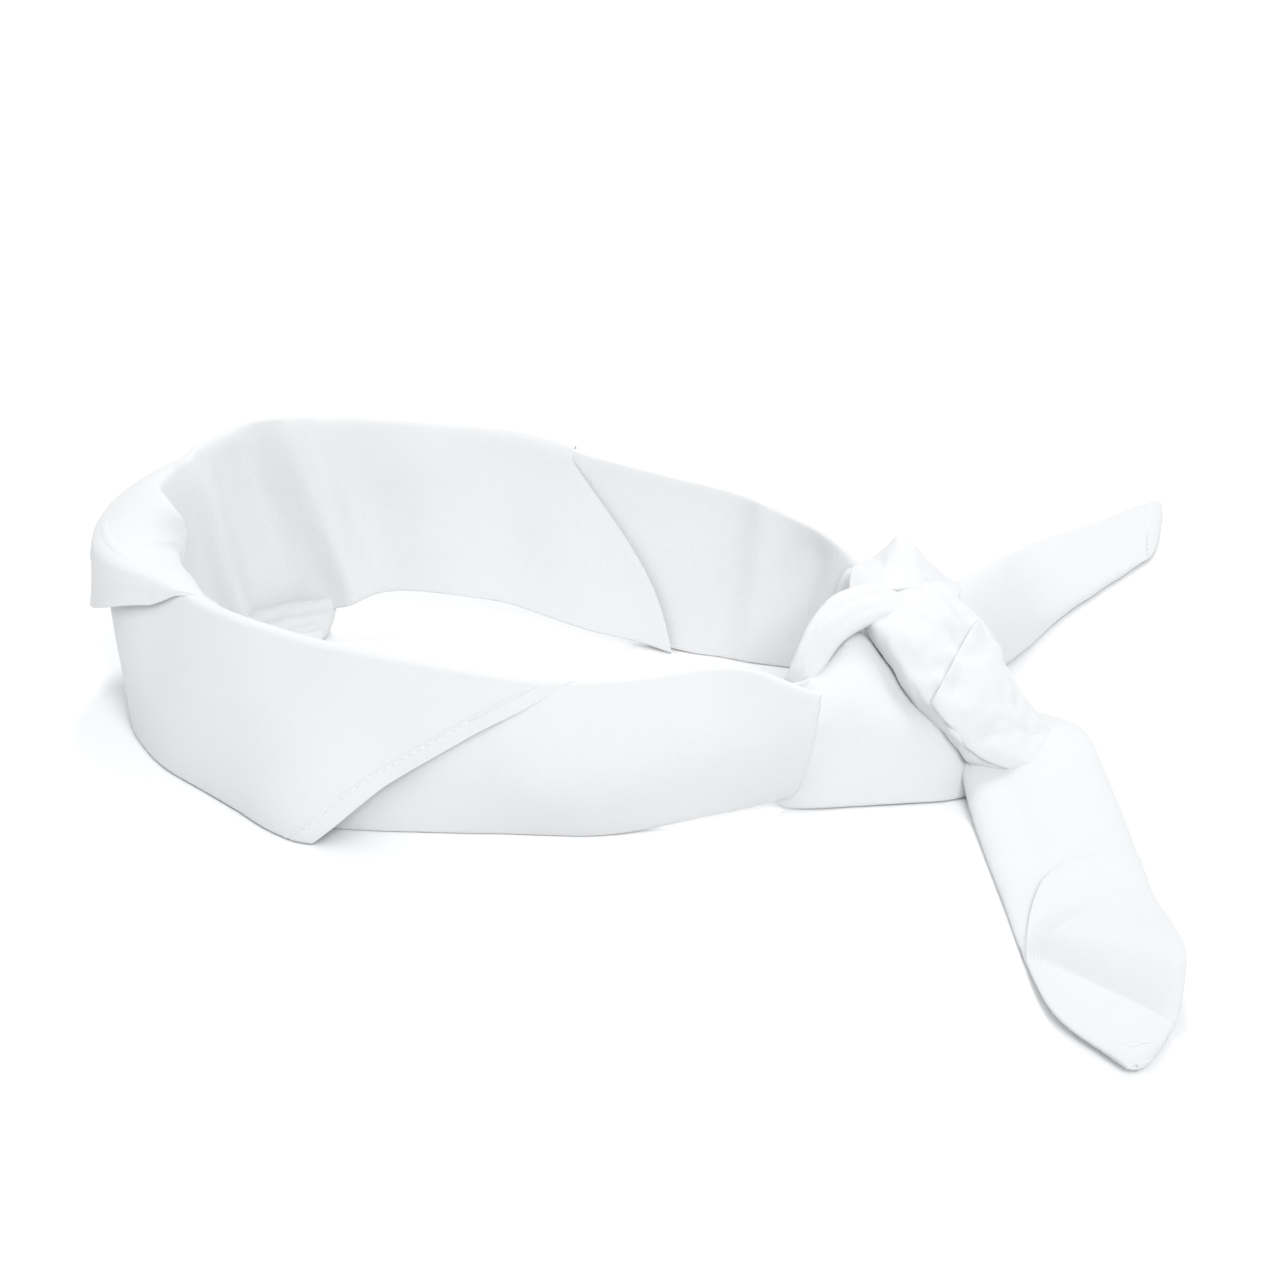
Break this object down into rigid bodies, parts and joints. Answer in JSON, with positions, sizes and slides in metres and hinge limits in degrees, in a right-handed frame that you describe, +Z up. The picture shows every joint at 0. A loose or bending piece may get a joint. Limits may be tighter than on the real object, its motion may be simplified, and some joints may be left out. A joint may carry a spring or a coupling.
{
  "type": "tied cloth headband",
  "caption": "White hemmed cotton square folded on the bias into a flat headband, tied in a knot with two loose tails.",
  "frame": {"origin": "middle of the footprint, on the table that the band stands on", "axes": "+Z up, square to the table; +X from the left turn towards the knot; the front tail runs towards -Y"},
  "size_m": [0.3224, 0.302, 0.0585],
  "materials": {
    "white_cotton": "matt plain weave",
    "white_thread": "matt spun thread"
  },
  "bodies": {
    "headband": {"front_wall_core": "white_cotton", "left_turn_core": "white_cotton", "back_wall_core": "white_cotton", "front_wall_face": "white_cotton", "front_left_face": "white_cotton", "corner_hem": "white_cotton", "left_turn_lip": "white_cotton", "left_turn_lining": "white_cotton", "back_right_face": "white_cotton", "back_left_face": "white_cotton", "bottom_roll": "white_cotton", "knot_wrap": "white_cotton", "knot_lower_strand": "white_cotton", "knot_side_strand": "white_cotton", "knot_top_fold": "white_cotton", "front_tail_root": "white_cotton", "back_tail_root": "white_cotton", "knot_rear_strand": "white_cotton", "knot_core": "white_cotton", "corner_hem_stitches": "white_thread"},
    "front_tail": {"front_tail": "white_cotton", "front_tail_turned_end": "white_cotton", "front_tail_hem": "white_cotton", "front_tail_stitches": "white_thread"},
    "back_tail": {"back_tail": "white_cotton", "back_tail_face": "white_cotton", "back_tail_hem": "white_cotton", "back_tail_stitches": "white_thread"}
  },
  "joints": [
    {"name": "front_tail_lift", "type": "hinge", "parent": "headband", "child": "front_tail", "pos_m": [0.0972, -0.0358, 0.016], "axis": [-1, 0, 0], "range_deg": [0, 80]},
    {"name": "back_tail_lift", "type": "hinge", "parent": "headband", "child": "back_tail", "pos_m": [0.1022, 0.0604, 0.024], "axis": [0.8, -0.6, 0], "range_deg": [0, 80]}
  ]
}
